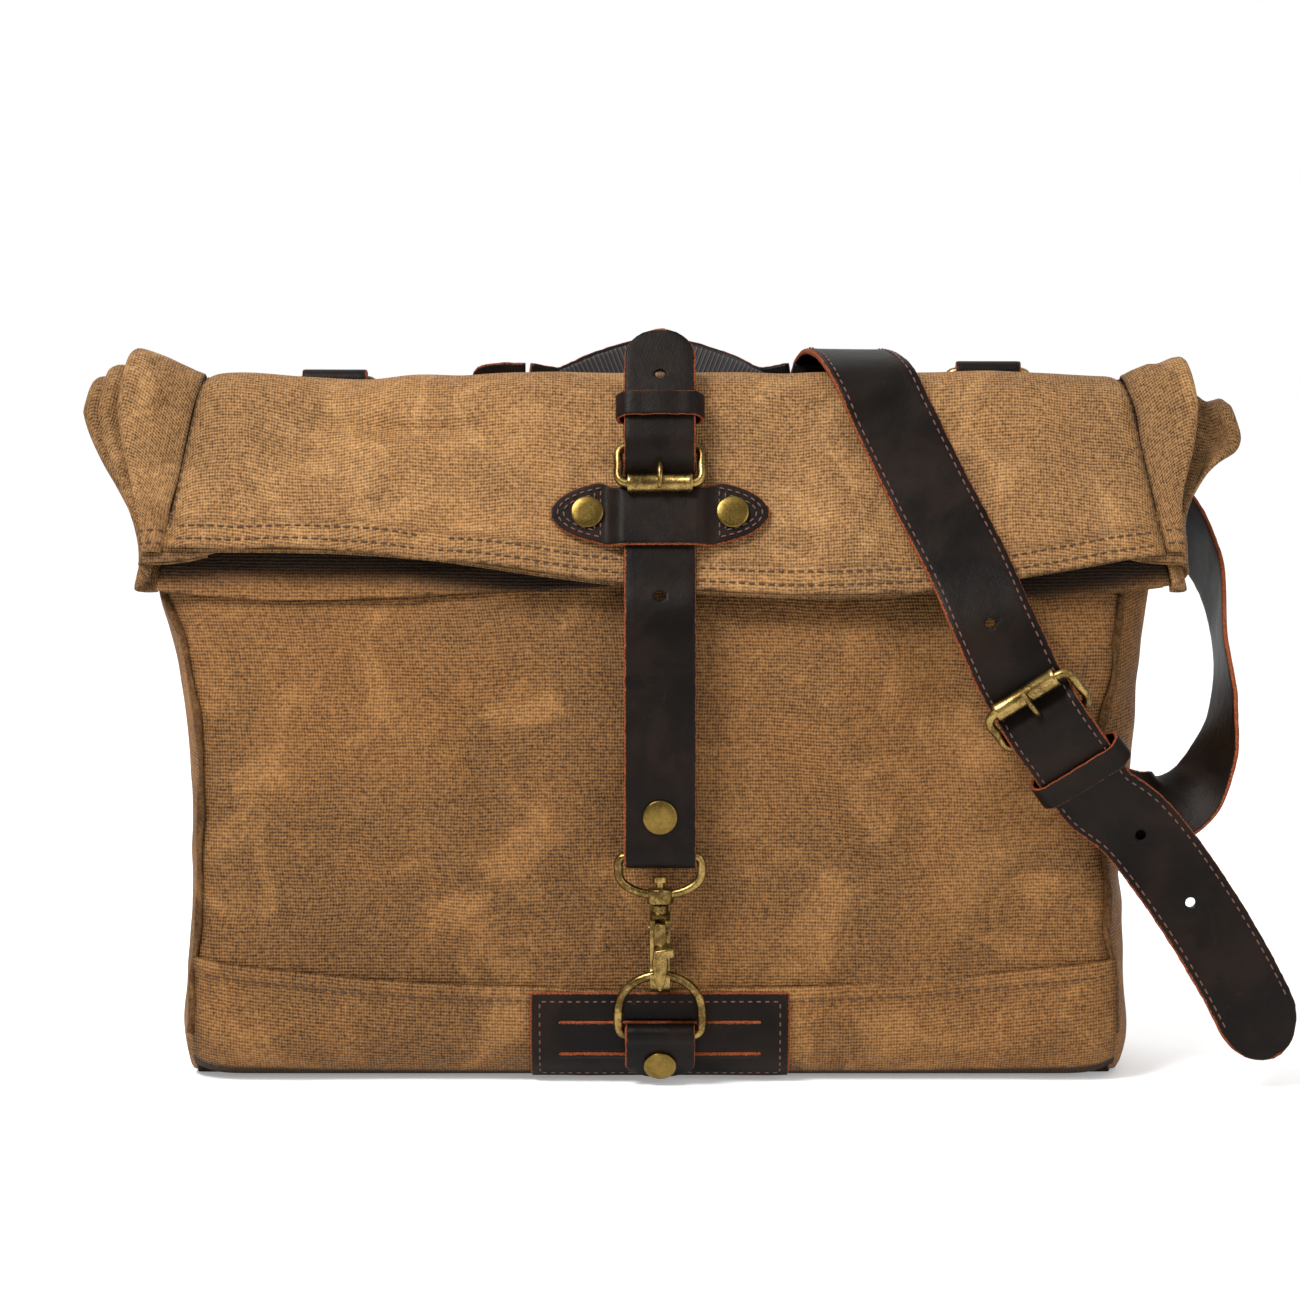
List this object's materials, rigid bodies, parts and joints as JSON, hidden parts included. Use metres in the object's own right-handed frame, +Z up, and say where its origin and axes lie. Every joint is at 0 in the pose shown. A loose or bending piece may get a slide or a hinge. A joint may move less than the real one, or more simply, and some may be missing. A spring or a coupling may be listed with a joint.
{
  "type": "fold-over messenger bag",
  "caption": "Fold-over messenger bag of waxed canvas with a leather closure strap, snap hook, carry handle and shoulder strap.",
  "frame": {"origin": "middle of the base, on the surface the bag stands on", "axes": "+Z up, the front of the bag with its buckle and snap hook faces -Y, +X to the right seen from the front"},
  "size_m": [0.4803, 0.1666, 0.3036],
  "materials": {
    "canvas_body": "waxed canvas, worn matt",
    "canvas_flap": "waxed canvas, rubbed pale",
    "lining_cloth": "cotton lining, matt",
    "leather": "pull-up leather, waxy with a grey bloom and raw edges",
    "webbing": "ribbed webbing, matt",
    "brass": "aged, rubbed bright on the high parts",
    "board": "matt"
  },
  "bodies": {
    "bag_body": {"base_boot": "canvas_body", "front_panel": "canvas_body", "back_panel": "canvas_body", "gusset_left": "canvas_body", "gusset_right": "canvas_body", "lining": "lining_cloth", "base_board": "board", "laptop_sleeve": "lining_cloth", "inner_pocket": "lining_cloth", "fold_outer": "canvas_flap", "fold_inner": "canvas_body", "fold_gusset_left": "canvas_flap", "fold_gusset_right": "canvas_flap", "front_patch": "leather", "ring_tab": "leather", "ring_tab_rivet": "brass", "ring_patch_left": "leather", "ring_patch_right": "leather", "ring_tab_left": "leather", "ring_tab_right": "leather", "ring_rivet_left": "brass", "ring_rivet_right": "brass", "handle_end_left": "leather", "handle_end_right": "leather", "handle_rivet_left": "brass", "handle_rivet_right": "brass", "shoulder_strap_rear": "leather", "shoulder_strap_over_top": "leather", "shoulder_strap_short": "leather"},
    "flap": {"flap_outer": "canvas_flap", "flap_inner": "canvas_body", "flap_gusset_left": "canvas_flap", "flap_gusset_right": "canvas_flap", "strap_bridge": "leather", "bridge_rivet_left": "brass", "bridge_rivet_right": "brass", "closure_chape": "leather", "closure_strap_upper": "leather", "closure_buckle_frame": "brass", "shoulder_strap_front": "leather", "shoulder_buckle_frame": "brass"},
    "closure_roller": {"closure_buckle_roller": "brass"},
    "closure_tongue": {"closure_buckle_tongue": "brass"},
    "closure_keeper": {"closure_keeper": "leather"},
    "closure_strap": {"closure_strap_lower": "leather", "closure_strap_rivet": "brass"},
    "hook_eye": {"hook_eye": "brass"},
    "hook": {"hook_body": "brass"},
    "hook_lever": {"hook_lever": "brass"},
    "front_ring": {"front_ring": "brass"},
    "handle": {"handle_strap": "leather", "handle_webbing": "webbing"},
    "ring_left": {"ring_left": "brass"},
    "ring_right": {"ring_right": "brass"},
    "shoulder_roller": {"shoulder_buckle_roller": "brass"},
    "shoulder_tongue": {"shoulder_buckle_tongue": "brass"},
    "shoulder_keeper": {"shoulder_keeper": "leather"}
  },
  "joints": [
    {"name": "flap_hinge", "type": "hinge", "parent": "bag_body", "child": "flap", "pos_m": [0, -0.008, 0.268], "axis": [-1, 0, 0], "range_deg": [0, 125], "deforming": ["fold_outer", "fold_inner", "fold_gusset_left", "fold_gusset_right", "shoulder_strap_over_top", "shoulder_strap_short"]},
    {"name": "closure_strap_swing", "type": "hinge", "parent": "flap", "child": "closure_strap", "pos_m": [0, -0.05006, 0.21596], "axis": [-1, 0, 0], "range_deg": [0, 90]},
    {"name": "hook_eye_tilt", "type": "hinge", "parent": "closure_strap", "child": "hook_eye", "pos_m": [0, -0.061, 0.095], "axis": [-1, 0, 0], "range_deg": [0, 90]},
    {"name": "hook_swivel", "type": "hinge", "parent": "hook_eye", "child": "hook", "pos_m": [0, -0.061, 0.09], "axis": [0, 0, 1], "range_deg": [-8, 8]},
    {"name": "hook_lever_press", "type": "hinge", "parent": "hook", "child": "hook_lever", "pos_m": [0, -0.0656, 0.067], "axis": [1, 0, 0], "range_deg": [0, 15], "stiffness_Nm_per_rad": 0.02, "springref_deg": -11.46},
    {"name": "front_ring_swing", "type": "hinge", "parent": "bag_body", "child": "front_ring", "pos_m": [0, -0.0563, 0.022], "axis": [1, 0, 0], "range_deg": [-2, 2]},
    {"name": "handle_swing", "type": "hinge", "parent": "bag_body", "child": "handle", "pos_m": [0, 0.025, 0.27], "axis": [1, 0, 0], "range_deg": [-25, 40]},
    {"name": "ring_left_swing", "type": "hinge", "parent": "bag_body", "child": "ring_left", "pos_m": [-0.135, 0.0302, 0.281], "axis": [1, 0, 0], "range_deg": [-2, 2]},
    {"name": "ring_right_swing", "type": "hinge", "parent": "bag_body", "child": "ring_right", "pos_m": [0.1365, 0.0302, 0.2845], "axis": [1, 0, 0], "range_deg": [-8, 8]},
    {"name": "closure_roller_spin", "type": "hinge", "parent": "flap", "child": "closure_roller", "pos_m": [0, -0.04556, 0.24284], "axis": [1, 0, 0], "continuous": true},
    {"name": "closure_tongue_lift", "type": "hinge", "parent": "flap", "child": "closure_tongue", "pos_m": [0, -0.03771, 0.25692], "axis": [-1, 0, 0], "range_deg": [0, 8]},
    {"name": "closure_keeper_slide", "type": "slide", "parent": "flap", "child": "closure_keeper", "axis": [0, 0.3746, 0.9272], "range_m": [-0.001, 0.003]},
    {"name": "shoulder_roller_spin", "type": "hinge", "parent": "flap", "child": "shoulder_roller", "pos_m": [0.14388, -0.07487, 0.16141], "axis": [-0.8221, 0.1759, -0.5414], "continuous": true},
    {"name": "shoulder_tongue_lift", "type": "hinge", "parent": "flap", "child": "shoulder_tongue", "pos_m": [0.15412, -0.06773, 0.14817], "axis": [0.8221, -0.1759, 0.5414], "range_deg": [0, 8]},
    {"name": "shoulder_keeper_slide", "type": "slide", "parent": "flap", "child": "shoulder_keeper", "axis": [0.5693, 0.2541, -0.7819], "range_m": [-0.001, 0.003]}
  ]
}
